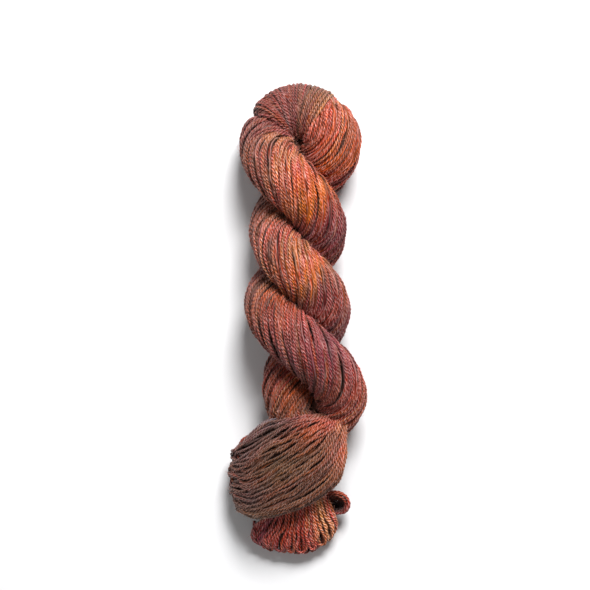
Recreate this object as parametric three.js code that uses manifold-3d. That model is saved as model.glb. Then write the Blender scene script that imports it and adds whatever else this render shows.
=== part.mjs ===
// A skein of worsted yarn: a hank twisted on itself, folded in two so that its halves ply together,
// with one end loop tucked through the other. Millimetres, +Z up, lying on the plane z = 0 with the
// folded head towards +Y. The origin is at the middle of its footprint's box, on that plane.
import * as THREE from "three";
import { mergeVertices } from "three/addons/utils/BufferGeometryUtils.js";
import Module from "manifold-3d";

// Driving dimensions
const SETTLE = 0.9; // how far the soft bundles settle: height over width
const PRESSED = 1.2; // depth that each underside is pressed flat where it lies on the surface
const LOCKS = 9; // broad locks of yarn that stand out round a bundle
const LOCK_RELIEF = 0.045; // height of a lock, as a share of the bundle's girth
const LOOP_LOCKS = 9; // locks round each of the two end loops
const LOOP_RELIEF = 0.14; // height of such a lock, as a share of the loop's depth
const YARN_TWIST = 0.075; // turn of the yarn round its bundle, in radians for each millimetre
const HEAD_TWIST = 0.05; // further turn of the yarn where the hank folds at the head
const HEAD_REACH = 24; // length over which that further turn fades, to each side of the fold

// Facets
const SIDES_OF_LOCK = 3;
const BUNDLE_STEPS = 60; // along each half of the hank
const QUARTERS = 4; // route points for each half turn of the ply
const BAND_STEPS = 36;
const FAN_STEPS = 14;
const CURL_SIDES = 8;
const CURL_STEPS = 18;

// The two-ply rope, a row for each half turn: its axis (x, y), spread from that axis to the middle
// of each bundle, and girth, the radius of a bundle. The first row is beside the head's eye.
const ROPE = [
  { y: 101.7, x: 1.8, rise: -8.5, spread: 18.6, girth: 17.3 },
  { y: 52.8, x: 0.6, rise: 0, spread: 13.8, girth: 15.0 },
  { y: 8.4, x: 0.3, rise: 0, spread: 15.2, girth: 16.0 },
  { y: -42.6, x: 10.8, rise: 0, spread: 15.2, girth: 15.6 },
];

// The fold over the head, from the left bundle to the right one: the middle of the bundle.
const FOLD = [
  { x: -14.9, y: 114.4, z: 16.8, girth: 16.2 },
  { x: -6.8, y: 123.2, z: 16.2, girth: 16.2 },
  { x: 4.5, y: 124.8, z: 18.8, girth: 16.2 },
  { x: 14.7, y: 120.0, z: 22.8, girth: 16.2 },
  { x: 20.6, y: 111.4, z: 24.8, girth: 16.9 },
];

// Where the bundles end in the tuck: the first turns into the band, the second into the fan.
const INTO_BAND = [
  { x: 25.2, y: -53.0, z: 20.4, girth: 14.2 },
  { x: 20.6, y: -62.2, z: 16.0, girth: 12.0 },
  { x: 14.4, y: -70.2, z: 14.4, girth: 10.5 },
];
const INTO_FAN = [
  { x: -5.0, y: -42.5, z: 21.6, girth: 15.2 },
  { x: -4.2, y: -54.6, z: 22.8, girth: 14.0 },
  { x: -2.1, y: -66.6, z: 20.6, girth: 12.4 },
  { x: 0.0, y: -79.0, z: 17.5, girth: 11.0 },
];

// The band, the end loop that wraps the other one: a row for each cut across it, from the neck over
// the front, round the left turn and back underneath, with its upper and lower edge and its depth.
const BAND = [
  { upperX: 20.4, upperY: -54.0, lowerX: 25.6, lowerY: -66.0, z: 19.5, depth: 8.0 },
  { upperX: 15.0, upperY: -56.0, lowerX: 28.0, lowerY: -84.0, z: 26.5, depth: 7.6 },
  { upperX: 4.2, upperY: -56.6, lowerX: 24.0, lowerY: -99.0, z: 29.5, depth: 7.4 },
  { upperX: -7.8, upperY: -57.4, lowerX: 6.0, lowerY: -111.6, z: 29.6, depth: 7.2 },
  { upperX: -18.6, upperY: -60.4, lowerX: -13.0, lowerY: -118.0, z: 26.6, depth: 7.2 },
  { upperX: -29.0, upperY: -69.5, lowerX: -25.6, lowerY: -119.4, z: 21.0, depth: 7.2 },
  { upperX: -34.4, upperY: -77.5, lowerX: -31.8, lowerY: -115.5, z: 13.6, depth: 7.4 },
  { upperX: -27.0, upperY: -73.0, lowerX: -24.0, lowerY: -117.5, z: 7.4, depth: 7.0 },
  { upperX: -10.0, upperY: -62.0, lowerX: -4.0, lowerY: -114.0, z: 5.6, depth: 6.8 },
  { upperX: 7.0, upperY: -57.5, lowerX: 14.0, lowerY: -103.0, z: 5.8, depth: 6.8 },
  { upperX: 18.0, upperY: -56.0, lowerX: 25.0, lowerY: -82.0, z: 9.5, depth: 7.4 },
];

// The fan, the end loop that comes out under the band: a row for each cut across it, from the neck
// to the rim, with its left and right edge and its depth.
const FAN = [
  { leftX: -12.0, leftY: -70.0, rightX: 11.5, rightY: -70.0, z: 18.0, depth: 10.0 },
  { leftX: -14.0, leftY: -92.0, rightX: 13.0, rightY: -90.0, z: 16.5, depth: 10.0 },
  { leftX: -20.0, leftY: -112.0, rightX: 18.6, rightY: -106.0, z: 13.8, depth: 10.2 },
  { leftX: -27.4, leftY: -124.4, rightX: 23.4, rightY: -118.0, z: 10.2, depth: 10.4 },
  { leftX: -26.6, leftY: -132.6, rightX: 22.6, rightY: -127.2, z: 8.2, depth: 9.2 },
  { leftX: -18.6, leftY: -137.8, rightX: 16.8, rightY: -134.2, z: 6.6, depth: 7.2 },
  { leftX: -7.4, leftY: -140.2, rightX: 8.4, rightY: -139.2, z: 5.2, depth: 4.0 },
];

// What fills the skein inside: the pinched eye of the head, the middle of the rope between its two
// bundles, the crotch where they part, and the middle of the band.
const CORES = [
  { x: 1.2, y: 104.5, z: 16.0, wide: 8.0, long: 8.0, deep: 9.0 },
  { x: 2.4, y: 27.0, z: 25.5, wide: 7.0, long: 75.0, deep: 7.0 },
  { x: 8.0, y: -54.0, z: 18.0, wide: 14.0, long: 16.0, deep: 9.5 },
  { x: -3.0, y: -87.5, z: 17.6, wide: 27.0, long: 25.0, deep: 12.0 },
];

// The curl, a few turns of yarn that stand out to the right of the fan.
const CURL = [
  { x: 12.0, y: -106.0, z: 15.5, girth: 3.4 },
  { x: 20.5, y: -104.4, z: 15.8, girth: 3.0 },
  { x: 27.6, y: -105.4, z: 14.6, girth: 2.4 },
  { x: 31.3, y: -110.4, z: 12.8, girth: 2.1 },
  { x: 28.6, y: -115.8, z: 11.0, girth: 2.5 },
  { x: 21.6, y: -117.0, z: 10.6, girth: 3.0 },
  { x: 13.0, y: -115.6, z: 11.0, girth: 3.4 },
];

const wasm = await Module();
wasm.setup();

// A smooth line through a table's rows, read at a share from 0 to 1 of the way along it.
function smoothColumn(rows, column, closed = false) {
  const points = rows.map((row) => new THREE.Vector3(row[column], 0, 0));
  const line = new THREE.CatmullRomCurve3(points, closed, "catmullrom");
  return (share) => line.getPoint(share).x;
}

// One bundle's middle along the rope, from the head down: side is 0 for the bundle that starts at
// the right of the eye and 1 for the one at the left. The ply turns as the letter S slopes.
function ropeRoute(side, points) {
  const [x, y, rise, spread, girth] = ["x", "y", "rise", "spread", "girth"].map((name) =>
    smoothColumn(ROPE, name),
  );
  const route = [];
  for (let i = 0; i < points; i++) {
    const share = i / ((ROPE.length - 1) * QUARTERS);
    const turn = Math.PI * (side - i / QUARTERS);
    const height = (spread(share) + girth(share)) * SETTLE - PRESSED + rise(share);
    route.push({
      x: x(share) + spread(share) * Math.cos(turn),
      y: y(share),
      z: height + spread(share) * SETTLE * Math.sin(turn),
      girth: girth(share),
    });
  }
  return route;
}

// The whole hank's middle, from the band up the first bundle, over the head and down the second
// bundle to the fan.
function hankRoute() {
  const points = (ROPE.length - 1) * QUARTERS;
  const up = [...ropeRoute(1, points + 1), ...INTO_BAND].reverse();
  const down = [...ropeRoute(0, points), ...INTO_FAN];
  return [...up, ...FOLD, ...down];
}

// Further turn of the yarn at a distance along the hank, gathered round the fold.
function headTurn(distance, foldAt) {
  return HEAD_TWIST * HEAD_REACH * Math.tanh((distance - foldAt) / HEAD_REACH);
}

// The mirror image of a round bar, so that its facets are halved along the way that the yarn lies.
function mirrored(bar) {
  bar.scale(-1, 1, 1);
  const index = bar.index;
  for (let i = 0; i < index.count; i += 3) {
    const first = index.getX(i);
    index.setX(i, index.getX(i + 1));
    index.setX(i + 1, first);
  }
  return bar;
}

// A closed mesh as a solid that can be joined and cut.
function solidOf(geometry) {
  const bare = geometry.clone();
  bare.deleteAttribute("normal");
  bare.deleteAttribute("uv");
  const merged = mergeVertices(bare, 1e-4);
  const vertProperties = merged.attributes.position.array;
  const triVerts = new Uint32Array(merged.index.array);
  return new wasm.Manifold(new wasm.Mesh({ numProp: 3, vertProperties, triVerts }));
}

// Moves each point of a geometry to where the function places it.
function warp(geometry, place) {
  const position = geometry.attributes.position;
  const point = new THREE.Vector3();
  for (let i = 0; i < position.count; i++) {
    const { x, y, z } = place(point.fromBufferAttribute(position, i));
    position.setXYZ(i, x, y, z);
  }
  return solidOf(geometry);
}

// A straight round bar, swept along a route as a bundle of yarn from one share of it to another.
function bundle(route, from, to, sides, steps, locks) {
  const line = new THREE.CatmullRomCurve3(
    route.map(({ x, y, z }) => new THREE.Vector3(x, y, z)),
    false,
    "catmullrom",
  );
  const fine = steps * Math.round(1 / (to - from)) * 8;
  line.arcLengthDivisions = fine;
  const length = line.getLength();
  const frames = line.computeFrenetFrames(fine);
  const girth = smoothColumn(route, "girth");
  const bar = mirrored(new THREE.CylinderGeometry(1, 1, 1, sides, steps));
  return warp(bar, (point) => {
    const share = from + (to - from) * (point.y + 0.5);
    const frame = Math.round(share * fine);
    const around = Math.atan2(point.x, point.z);
    const out = Math.min(1, Math.hypot(point.x, point.z));
    const distance = length * share;
    const turn = locks ? YARN_TWIST * distance + headTurn(distance, length / 2) : 0;
    const relief = locks ? 1 + LOCK_RELIEF * Math.cos(locks * around) : 1;
    const radius = out * relief * girth(line.getUtoTmapping(share));
    const offset = new THREE.Vector3()
      .addScaledVector(frames.normals[frame], radius * Math.cos(around + turn))
      .addScaledVector(frames.binormals[frame], radius * Math.sin(around + turn));
    offset.z *= SETTLE;
    return line.getPointAt(share).add(offset);
  });
}

// How far a loop's surface stands out at an angle round it, with its locks of yarn.
function loopRelief(around) {
  return 1 + LOOP_RELIEF * Math.cos(LOOP_LOCKS * around);
}

// The band as a ring whose cuts follow its table.
function bandSolid() {
  const [x0, y0, x1, y1, z, depth] = ["upperX", "upperY", "lowerX", "lowerY", "z", "depth"].map(
    (name) => smoothColumn(BAND, name, true),
  );
  const middle = (share) =>
    new THREE.Vector3((x0(share) + x1(share)) / 2, (y0(share) + y1(share)) / 2, z(share));
  const ringRadius = 4;
  const ring = new THREE.TorusGeometry(ringRadius, 1, LOOP_LOCKS * SIDES_OF_LOCK, BAND_STEPS);
  return warp(ring, (point) => {
    const share = (Math.atan2(point.y, point.x) / (2 * Math.PI) + 1) % 1;
    const across = Math.atan2(point.z, Math.hypot(point.x, point.y) - ringRadius);
    const ahead = middle((share + 0.01) % 1).sub(middle((share + 0.99) % 1));
    const wide = new THREE.Vector3(x0(share) - x1(share), y0(share) - y1(share), 0).divideScalar(2);
    const deep = ahead.cross(wide).normalize();
    return middle(share)
      .addScaledVector(deep, depth(share) * loopRelief(across) * Math.cos(across))
      .addScaledVector(wide, Math.sin(across));
  });
}

// The fan as a bar whose cuts follow its table.
function fanSolid() {
  const [x0, y0, x1, y1, z, depth] = ["leftX", "leftY", "rightX", "rightY", "z", "depth"].map(
    (name) => smoothColumn(FAN, name),
  );
  const bar = new THREE.CylinderGeometry(1, 1, 1, LOOP_LOCKS * SIDES_OF_LOCK, FAN_STEPS);
  return warp(bar, (point) => {
    const share = point.y + 0.5;
    return new THREE.Vector3(
      (x0(share) + x1(share)) / 2 + (point.z * (x1(share) - x0(share))) / 2,
      (y0(share) + y1(share)) / 2 + (point.z * (y1(share) - y0(share))) / 2,
      z(share) + point.x * depth(share) * loopRelief(Math.atan2(point.x, point.z)),
    );
  });
}

// What fills a loop inside, as a rounded lump.
function coreSolid({ x, y, z, wide, long, deep }) {
  const lump = new THREE.SphereGeometry(1, 16, 10);
  return solidOf(lump.scale(wide, long, deep).translate(x, y, z));
}

// Cuts away what would lie under the surface that the skein rests on.
function pressFlat(solid) {
  const size = 1000;
  const under = new THREE.BoxGeometry(size, size, size).translate(0, 0, -size / 2);
  return solid.subtract(solidOf(under));
}

// A solid's outer shell as a mesh, with any pocket sealed inside filled, and the origin moved to
// the middle of its box on the surface below it.
function geometryOf(solid) {
  const [whole] = solid.decompose().sort((one, other) => other.volume() - one.volume());
  const mesh = whole.getMesh();
  const geometry = new THREE.BufferGeometry();
  geometry.setAttribute("position", new THREE.BufferAttribute(mesh.vertProperties, 3));
  geometry.setIndex(new THREE.BufferAttribute(mesh.triVerts, 1));
  geometry.computeBoundingBox();
  const middle = geometry.boundingBox.getCenter(new THREE.Vector3());
  geometry.translate(-middle.x, -middle.y, 0);
  geometry.computeVertexNormals();
  return geometry;
}

function skeinGeometry() {
  const route = hankRoute();
  const sides = LOCKS * SIDES_OF_LOCK;
  const pieces = [
    bundle(route, 0, 0.5, sides, BUNDLE_STEPS, LOCKS),
    bundle(route, 0.5, 1, sides, BUNDLE_STEPS, LOCKS),
    bandSolid(),
    fanSolid(),
    bundle(CURL, 0, 1, CURL_SIDES, CURL_STEPS, 0),
    ...CORES.map(coreSolid),
  ];
  return geometryOf(pressFlat(pieces.reduce((whole, piece) => whole.add(piece))));
}

const yarn = new THREE.MeshStandardMaterial({ color: 0x8a4f3d, roughness: 0.75, metalness: 0 });
const skein = new THREE.Mesh(skeinGeometry(), yarn);
skein.name = "skein";

const part = new THREE.Group();
part.add(skein);
export default part;
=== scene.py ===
import logging
import math
from abc import ABC, abstractmethod
from dataclasses import dataclass
from enum import Enum

import bmesh
import bpy
import numpy as np
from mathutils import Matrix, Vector
from mathutils.bvhtree import BVHTree


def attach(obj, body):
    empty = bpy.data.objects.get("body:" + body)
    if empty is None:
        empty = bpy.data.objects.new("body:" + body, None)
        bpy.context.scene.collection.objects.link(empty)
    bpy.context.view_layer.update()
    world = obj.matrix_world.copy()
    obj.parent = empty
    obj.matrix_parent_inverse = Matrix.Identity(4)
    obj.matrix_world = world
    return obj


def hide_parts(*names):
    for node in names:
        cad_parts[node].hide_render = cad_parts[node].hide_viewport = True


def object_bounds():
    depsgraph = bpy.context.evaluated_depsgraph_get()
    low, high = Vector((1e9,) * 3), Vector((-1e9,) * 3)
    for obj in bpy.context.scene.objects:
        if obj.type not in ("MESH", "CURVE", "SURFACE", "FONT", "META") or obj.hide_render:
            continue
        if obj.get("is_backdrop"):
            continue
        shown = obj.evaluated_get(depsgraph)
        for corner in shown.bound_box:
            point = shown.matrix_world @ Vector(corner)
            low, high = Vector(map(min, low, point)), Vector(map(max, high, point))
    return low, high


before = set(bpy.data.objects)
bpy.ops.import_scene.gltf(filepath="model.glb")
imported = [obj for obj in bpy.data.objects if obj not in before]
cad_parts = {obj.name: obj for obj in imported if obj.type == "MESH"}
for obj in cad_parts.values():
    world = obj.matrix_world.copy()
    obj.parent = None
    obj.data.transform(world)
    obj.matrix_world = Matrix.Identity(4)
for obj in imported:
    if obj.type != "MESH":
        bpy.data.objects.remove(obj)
CAD_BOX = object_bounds()

Array = np.ndarray
LOG = logging.getLogger("skein")

MM = 0.001
NODE = "skein"
BAKE_MAP = "OFBake"
YARN_MAP = "Yarn"
# Colour layer of each point: dye and tone, with painted shade and painted highlights in it
DYE_AND_PAINTED_LIGHT_LAYER = "dye"

# Middle of the solid's footprint in the frame that the tables are given in, mm
TABLES_MIDDLE = np.array([0.528, 0.753, 0.0])
# Corners of the solid's loose triangles that lie closer than this are one point, m
SAME_POINT = 1e-6

# Form of the wound hank, as the solid has it: angles in radians, lengths in mm
SETTLE = 0.9
PRESSED = 1.2
LOCKS = 9
LOCK_RELIEF = 0.045
LOOP_LOCKS = 9
LOOP_RELIEF = 0.14
YARN_TWIST = 0.075
QUARTERS = 4
# Twist of the yarn over the crown of the head, between its two creases
CROWN_TWIST = 0.46

# Painted light on a strand's surface, put into its colour: painted shade where it faces its neighbours
# and painted highlight where it faces out, and how far out it faces there, as the cosine of the angle
PAINTED_SHUT_LIGHT = 0.1
PAINTED_OPEN_LIGHT = 1.4
SHUT_FACING = 0.0
OPEN_FACING = 0.97
# Margins on the bake map beside a strand's row and at the row's ends, and where its two end faces go:
# the place before the first, the step between them, and their radius
ROW_MARGIN = 0.06
END_MARGIN = 0.004
CAP_START = 0.0005
CAP_STEP = 0.0012
CAP_RADIUS = 0.0004
# Where the surface has no room for every strand, they give way in this order, six by six. The sinking
# sets in over a share of the strands, and goes deeper for those that give way first, mm.
GIVE_WAY = (0.02, 0.62, 0.26, 0.76, 0.42, 0.9)
SINK_SPREAD = 0.3
SINK_LEAST = 0.9
SINK_MORE = 1.2

# The two-ply rope: y, x, rise, spread, girth
ROPE = np.array([
    (101.7, 1.8, -8.5, 18.6, 17.3),
    (52.8, 0.6, 0.0, 13.8, 15.0),
    (8.4, 0.3, 0.0, 15.2, 16.0),
    (-42.6, 10.8, 0.0, 15.2, 15.6),
])
# The fold over the head: x, y, z, girth
FOLD = np.array([
    (-14.9, 114.4, 16.8, 16.2),
    (-6.8, 123.2, 16.2, 16.2),
    (4.5, 124.8, 18.8, 16.2),
    (14.7, 120.0, 22.8, 16.2),
    (20.6, 111.4, 24.8, 16.9),
])
# Where the bundles end in the tuck: x, y, z, girth
INTO_BAND = np.array([
    (25.2, -53.0, 20.4, 14.2),
    (20.6, -62.2, 16.0, 12.0),
    (14.4, -70.2, 14.4, 10.5),
])
INTO_FAN = np.array([
    (-5.0, -42.5, 21.6, 15.2),
    (-4.2, -54.6, 22.8, 14.0),
    (-2.1, -66.6, 20.6, 12.4),
    (0.0, -79.0, 17.5, 11.0),
])
# The band: upper x, upper y, lower x, lower y, z, depth
BAND = np.array([
    (20.4, -54.0, 25.6, -66.0, 19.5, 8.0),
    (15.0, -56.0, 28.0, -84.0, 26.5, 7.6),
    (4.2, -56.6, 24.0, -99.0, 29.5, 7.4),
    (-7.8, -57.4, 6.0, -111.6, 29.6, 7.2),
    (-18.6, -60.4, -13.0, -118.0, 26.6, 7.2),
    (-29.0, -69.5, -25.6, -119.4, 21.0, 7.2),
    (-34.4, -77.5, -31.8, -115.5, 13.6, 7.4),
    (-27.0, -73.0, -24.0, -117.5, 7.4, 7.0),
    (-10.0, -62.0, -4.0, -114.0, 5.6, 6.8),
    (7.0, -57.5, 14.0, -103.0, 5.8, 6.8),
    (18.0, -56.0, 25.0, -82.0, 9.5, 7.4),
])
# The fan: left x, left y, right x, right y, z, depth
FAN = np.array([
    (-12.0, -70.0, 11.5, -70.0, 18.0, 10.0),
    (-14.0, -92.0, 13.0, -90.0, 16.5, 10.0),
    (-20.0, -112.0, 18.6, -106.0, 13.8, 10.2),
    (-27.4, -124.4, 23.4, -118.0, 10.2, 10.4),
    (-26.6, -132.6, 22.6, -127.2, 8.2, 9.2),
    (-18.6, -137.8, 16.8, -134.2, 6.6, 7.2),
    (-7.4, -140.2, 8.4, -139.2, 5.2, 4.0),
])
# The curl beside the fan: x, y, z, girth
CURL = np.array([
    (12.0, -106.0, 15.5, 3.4),
    (20.5, -104.4, 15.8, 3.0),
    (27.6, -105.4, 14.6, 2.4),
    (31.3, -110.4, 12.8, 2.1),
    (28.6, -115.8, 11.0, 2.5),
    (21.6, -117.0, 10.6, 3.0),
    (13.0, -115.6, 11.0, 3.4),
])


class Dye(Enum):
    """The dyer's colours, as 0 to 255 values."""

    SLATE = (108, 102, 112)
    GREY_MAUVE = (136, 104, 102)
    OLIVE = (138, 106, 82)
    TAUPE = (150, 104, 88)
    TAN = (192, 134, 106)
    PLUM = (124, 68, 76)
    MAUVE = (158, 96, 96)
    ROSE = (188, 110, 102)
    BRICK = (160, 62, 52)
    RUST = (168, 86, 68)
    TERRACOTTA = (192, 102, 74)
    ORANGE = (202, 112, 60)
    PEACH = (226, 160, 132)

    def linear(self) -> Array:
        """The colour as light, from 0 to 1."""
        part = np.array(self.value) / 255
        return np.where(part <= 0.04045, part / 12.92, ((part + 0.055) / 1.055) ** 2.4)


def dyed(places: Array, table: list[tuple[float, Dye]]) -> Array:
    """Reads a table of dyes.

    Args:
        places: Where to read it.
        table: Places, in order, and the dye at each.

    Returns:
        A colour for each reading.
    """
    stops = [place for place, _ in table]
    colours = np.array([dye.linear() for _, dye in table])
    return np.column_stack([np.interp(places, stops, column) for column in colours.T])


# Dye by distance along the hank, mm, from the band's end to the fan's
HANK_DYE = [
    (0, Dye.TAUPE), (28, Dye.ROSE), (40, Dye.ROSE), (52, Dye.MAUVE), (64, Dye.PLUM), (76, Dye.MAUVE),
    (86, Dye.ROSE), (95, Dye.RUST), (103, Dye.TERRACOTTA), (112, Dye.TAUPE), (125, Dye.MAUVE),
    (150, Dye.RUST), (172, Dye.PLUM), (183, Dye.MAUVE), (189, Dye.RUST), (194, Dye.ORANGE),
    (201, Dye.TERRACOTTA), (208, Dye.ROSE), (216, Dye.TAN), (222, Dye.ROSE), (230, Dye.TAN),
    (238, Dye.MAUVE), (246, Dye.ROSE), (252, Dye.MAUVE), (257, Dye.ROSE), (261, Dye.BRICK),
    (265, Dye.GREY_MAUVE), (269, Dye.ROSE), (273, Dye.MAUVE), (277, Dye.TAUPE), (281, Dye.OLIVE),
    (285, Dye.TAN), (289, Dye.ROSE), (298, Dye.RUST), (308, Dye.TERRACOTTA), (316, Dye.ROSE),
    (324, Dye.BRICK), (345, Dye.MAUVE), (364, Dye.TAUPE), (380, Dye.TAUPE), (390, Dye.ROSE),
    (398, Dye.TAUPE), (404, Dye.TAN), (410, Dye.ROSE), (415, Dye.ORANGE), (420, Dye.TAUPE),
    (428, Dye.MAUVE), (436, Dye.ROSE), (444, Dye.MAUVE), (460, Dye.PLUM), (484, Dye.MAUVE),
    (494, Dye.BRICK), (503, Dye.TERRACOTTA), (514, Dye.TAUPE), (535, Dye.RUST),
]
# How bright the strands are made, by distance along the hank and by share of the way round the band
HANK_TONE = np.array([
    (0, 0.75), (40, 0.76), (62, 0.82), (84, 0.76), (95, 0.66), (110, 0.66), (185, 0.93), (210, 1.0),
    (222, 0.66), (250, 0.48), (262, 0.48), (280, 0.52), (292, 0.95), (320, 1.04), (374, 0.82),
    (400, 0.9), (440, 0.85), (480, 0.7), (535, 0.65),
])
BAND_TONE = np.array([(0, 0.72), (0.12, 0.64), (0.25, 0.37), (0.55, 0.41), (1.0, 0.8)])
# Dye on the band: a row for each way across it from the upper edge to the lower, and a column for
# each share of the way round from the neck over the front, the left turn and back underneath
BAND_DYE_ROUND = (0.0, 0.10, 0.2, 0.32, 0.44, 0.55, 0.75, 1.0)
BAND_DYE = [
    [Dye.TAUPE, Dye.TAUPE, Dye.MAUVE, Dye.SLATE, Dye.GREY_MAUVE, Dye.MAUVE, Dye.MAUVE, Dye.TAUPE],
    [Dye.TAN, Dye.ROSE, Dye.TERRACOTTA, Dye.TAUPE, Dye.GREY_MAUVE, Dye.TAUPE, Dye.MAUVE, Dye.TAN],
    [Dye.TAN, Dye.TAUPE, Dye.TAUPE, Dye.OLIVE, Dye.TAUPE, Dye.GREY_MAUVE, Dye.TAUPE, Dye.TAN],
    [Dye.TAN, Dye.ROSE, Dye.TAUPE, Dye.TAUPE, Dye.GREY_MAUVE, Dye.TAUPE, Dye.TAUPE, Dye.TAN],
    [Dye.TAN, Dye.TAN, Dye.TAUPE, Dye.TAUPE, Dye.OLIVE, Dye.TAUPE, Dye.TAUPE, Dye.TAN],
]
# Loops that stray round the band's left end: the dye of each and the points that it passes
BAND_LOOPS = [
    (Dye.ROSE,
     [(-22, -66, 24.0), (-29, -69.5, 22.6), (-34.6, -76, 17.8), (-34.5, -83, 19.0), (-27, -87, 25.0)]),
    (Dye.GREY_MAUVE,
     [(-25, -74, 24.5), (-33.5, -77, 20.5), (-37.6, -84, 16.4), (-36.5, -91, 18.5), (-28, -93, 24.5)]),
    (Dye.TAUPE,
     [(-27, -82, 24.5), (-36.2, -85, 19.0), (-39.4, -91, 14.5), (-37.2, -98, 17.5), (-28, -99, 23.5)]),
    (Dye.GREY_MAUVE,
     [(-29, -91, 23.0), (-37.4, -93, 18.0), (-39.2, -100, 13.6), (-36, -106, 16.5), (-27, -107, 22.0)]),
    (Dye.TAUPE,
     [(-28, -98, 22.5), (-36, -100, 17.4), (-37.6, -107, 12.6), (-33, -112.4, 14.5), (-24, -112, 20.0)]),
    (Dye.OLIVE,
     [(-27, -105, 21.5), (-34, -107.5, 15.8), (-34, -113.5, 11.5), (-28, -117, 13.5), (-19, -116, 18.5)]),
]
# Lines that the fan's strands run along, at its left side and its right one, and its rim: x, y
FAN_LEFT = np.array([(-12.0, -80.0), (-13.5, -98.0), (-16.5, -114.5), (-24.4, -122.0), (-27.8, -129.0)])
FAN_RIGHT = np.array([(12.5, -80.0), (14.5, -95.0), (18.6, -106.0), (23.0, -116.0), (24.2, -123.0)])
FAN_RIM = np.array([
    (-28.4, -130.4), (-26.4, -135.2), (-18.8, -139.8), (-7.5, -142.2), (1.0, -142.8),
    (8.8, -141.4), (17.4, -136.6), (23.2, -130.0), (24.8, -124.4),
])
# Dye on the fan from its left side to its right
FAN_DYE = [
    (0.0, Dye.GREY_MAUVE), (0.08, Dye.MAUVE), (0.18, Dye.PLUM), (0.28, Dye.ROSE), (0.36, Dye.BRICK),
    (0.46, Dye.ROSE), (0.54, Dye.BRICK), (0.64, Dye.ROSE), (0.76, Dye.TAN), (0.86, Dye.PEACH),
    (0.93, Dye.ROSE), (1.0, Dye.TAN),
]
# Loops that lie along the fan's rim: middle x, lowest y, width, and dye
RIM_LOOPS = [
    (-23.4, -134.6, 6.0, Dye.MAUVE), (-16.6, -137.6, 5.4, Dye.ROSE), (-10.0, -139.4, 6.4, Dye.MAUVE),
    (-3.4, -140.2, 5.0, Dye.ROSE), (3.0, -140.4, 6.4, Dye.ROSE), (9.6, -139.0, 5.0, Dye.ROSE),
    (15.0, -136.0, 5.6, Dye.TAN), (20.0, -131.0, 5.0, Dye.TAN),
]
# Form of such a loop: x from its middle in half widths, y from its lowest, and z
RIM_LOOP = np.array([
    (-0.5, 13, 12.0), (-0.8, 6, 13.6), (-0.8, 1.6, 10.4), (0, 0, 8.0), (0.8, 1.4, 9.6), (0.8, 6, 12.0),
    (0.5, 13, 10.0),
])
# The bundle inside the band: x, y, z, half width, half height, and its dye along it
TUCKED = np.array([
    (-3.0, -54.0, 21.0, 14.5, 12.5),
    (0.0, -68.0, 18.0, 17.0, 12.0),
    (2.0, -84.0, 15.5, 19.5, 11.0),
    (1.0, -100.0, 14.0, 20.5, 10.0),
    (-1.0, -116.0, 12.0, 21.0, 9.0),
])
TUCKED_DYE = [(0, Dye.TAUPE), (0.3, Dye.RUST), (0.6, Dye.MAUVE), (1, Dye.ROSE)]
# Rounds of the curl, each by its size and its lift, mm, and its dye along it
CURL_ROUNDS = (
    (1.06, -0.6), (1.0, 1.4), (0.98, -2.4), (0.84, 0.4), (0.8, -1.8), (0.64, -3.2), (0.5, -4.6),
    (0.34, -5.6), (0.18, -6.2),
)
CURL_DYE = [(0, Dye.BRICK), (0.3, Dye.RUST), (0.5, Dye.ROSE), (0.8, Dye.MAUVE), (1, Dye.BRICK)]
# Dyes that streak the rest, the middle share of a streak, and how it drifts along the strand
STREAKS = (Dye.TAN, Dye.PLUM, Dye.PEACH, Dye.GREY_MAUVE, Dye.ROSE, Dye.MAUVE, Dye.TERRACOTTA, Dye.TAUPE)
STREAK_SHARE = 0.35
STREAK_DRIFT = (0.5, 25, 120)



class Side(Enum):
    """A side of the fan, by the column of its x in the fan's table."""

    LEFT = 0
    RIGHT = 2


def smooth_line(rows: Array, share: Array, closed: bool = False) -> Array:
    """Reads a smooth line that runs through a table's rows.

    Args:
        rows: The table, a row for each point of the line.
        share: How far along the line each reading is, from 0 to 1.
        closed: Whether the line comes back to its first row.

    Returns:
        A row for each reading.
    """
    share = np.atleast_1d(np.asarray(share, float))
    count = len(rows)
    if closed:
        place = share * count
        first = np.floor(place).astype(int)
        before, here, after, beyond = (rows[(first + k) % count] for k in (-1, 0, 1, 2))
    else:
        place = share * (count - 1)
        first = np.clip(np.floor(place).astype(int), 0, count - 2)
        padded = np.vstack([2 * rows[0] - rows[1], rows, 2 * rows[-1] - rows[-2]])
        before, here, after, beyond = (padded[first + k] for k in (0, 1, 2, 3))
    part = (place - first)[:, None]
    leaving, arriving = (after - before) / 2, (beyond - here) / 2
    square = -3 * here + 3 * after - 2 * leaving - arriving
    cube = 2 * here - 2 * after + leaving + arriving
    return here + leaving * part + square * part**2 + cube * part**3


def unit(vectors: Array) -> Array:
    """Each row of an array at length one."""
    return vectors / np.maximum(np.linalg.norm(vectors, axis=-1, keepdims=True), 1e-12)


def lengths_along(points: Array) -> Array:
    """Distance of each point along the line that joins them."""
    return np.concatenate([[0.0], np.cumsum(np.linalg.norm(np.diff(points, axis=0), axis=1))])


def softened(values: Array, steps: float) -> Array:
    """Evens out a line of values or points with a bell-shaped window.

    Args:
        values: The values, one or a row of them for each place.
        steps: Reach of the window in places.

    Returns:
        The evened values, of the same shape.
    """
    reach = int(math.ceil(3 * steps))
    window = np.exp(-0.5 * (np.arange(-reach, reach + 1) / steps) ** 2)
    window /= window.sum()
    columns = values.reshape(len(values), -1)
    padded = np.pad(columns, ((reach, reach), (0, 0)), mode="reflect", reflect_type="odd")
    done = [np.convolve(column, window, mode="valid") for column in padded.T]
    return np.array(done).T.reshape(values.shape)


def kept_above(points: Array, height: float) -> Array:
    """The points, with those that lie below a height lifted to it."""
    return np.column_stack([points[:, :2], np.maximum(points[:, 2], height)])


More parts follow.
